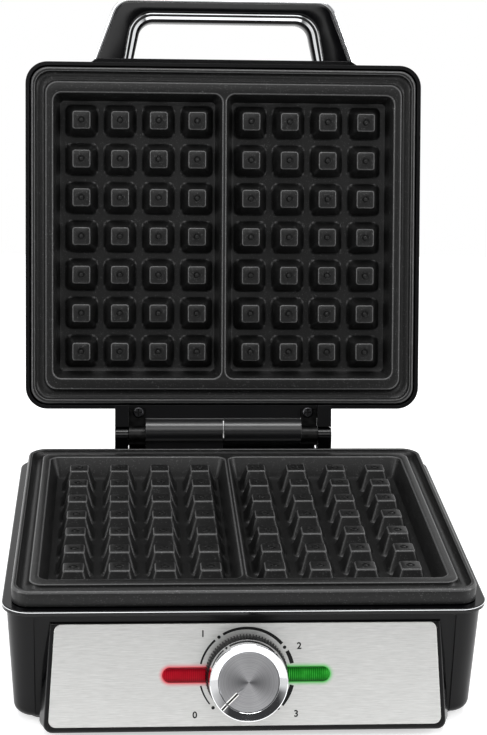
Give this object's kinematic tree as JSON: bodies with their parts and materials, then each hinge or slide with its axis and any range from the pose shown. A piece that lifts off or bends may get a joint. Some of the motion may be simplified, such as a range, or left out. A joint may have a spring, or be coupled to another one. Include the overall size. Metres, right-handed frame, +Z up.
{
  "type": "waffle maker",
  "caption": "Electric waffle maker, standing open: square peg plates with overflow gutter, hinged lid with arch handle, sloped control panel with thermostat knob and light bars.",
  "frame": {"origin": "on the table, in the middle of the open machine's bounding box", "axes": "+Z up, -Y towards the user, +X to the user's right, parallel to the hinge axis"},
  "size_m": [0.2392, 0.3457, 0.3234],
  "materials": {
    "black_plastic": "fine moulded grain",
    "gloss_black_plastic": "polished",
    "coated_aluminium": "non-stick coating with fine speckle",
    "heater_steel": "drawn tube",
    "shield_sheet": "rolled sheet",
    "screw_steel": "zinc plated",
    "black_steel": "black coating",
    "porcelain": "moulded",
    "foot_rubber": "matt",
    "brushed_fascia": "brushed along its width",
    "red_plastic": "clear red, ribbed",
    "green_plastic": "clear green, ribbed",
    "lamp_glass": "clear",
    "chrome_trim": "mirror",
    "knob_plastic": "moulded ribs",
    "spun_aluminium": "spun in rings"
  },
  "bodies": {
    "base": {"base_tub": "black_plastic", "trim_ring": "gloss_black_plastic", "lower_plate": "coated_aluminium", "lower_heater": "heater_steel", "lower_heat_shield": "shield_sheet", "plate_screws": "screw_steel", "thermal_cutout": "screw_steel", "terminal_block": "porcelain", "cord_gland": "gloss_black_plastic", "rubber_feet": "foot_rubber", "control_bezel": "gloss_black_plastic", "control_panel": "brushed_fascia", "bezel_screws": "screw_steel", "red_lens": "red_plastic", "green_lens": "green_plastic", "red_lamp": "lamp_glass", "green_lamp": "lamp_glass", "thermostat": "black_plastic", "left_hinge_post": "gloss_black_plastic", "right_hinge_post": "gloss_black_plastic", "left_hinge_pin": "screw_steel", "right_hinge_pin": "screw_steel", "base_barrel": "gloss_black_plastic", "rear_screws": "screw_steel"},
    "lid": {"lid_housing": "black_plastic", "upper_plate": "coated_aluminium", "upper_heater": "heater_steel", "upper_heat_shield": "shield_sheet", "lid_plate_screws": "screw_steel", "screw_plugs": "gloss_black_plastic", "left_hinge_leaf": "black_steel", "right_hinge_leaf": "black_steel", "leaf_screws": "screw_steel", "lid_barrel": "gloss_black_plastic", "handle_boss": "black_plastic", "handle_core": "gloss_black_plastic", "handle_outer_trim": "chrome_trim", "handle_inner_trim": "chrome_trim", "handle_screws": "screw_steel"},
    "knob": {"knob_body": "knob_plastic", "knob_collar": "chrome_trim", "knob_cap": "spun_aluminium", "thermostat_spindle": "screw_steel"}
  },
  "joints": [
    {"name": "lid_hinge", "type": "hinge", "parent": "base", "child": "lid", "pos_m": [0, 0.07807, 0.0728], "axis": [1, 0, 0], "range_deg": [0, 105]},
    {"name": "knob_turn", "type": "hinge", "parent": "base", "child": "knob", "pos_m": [0, -0.15035, 0.03136], "axis": [0, 0.9659, -0.2588], "range_deg": [0, 270]}
  ]
}
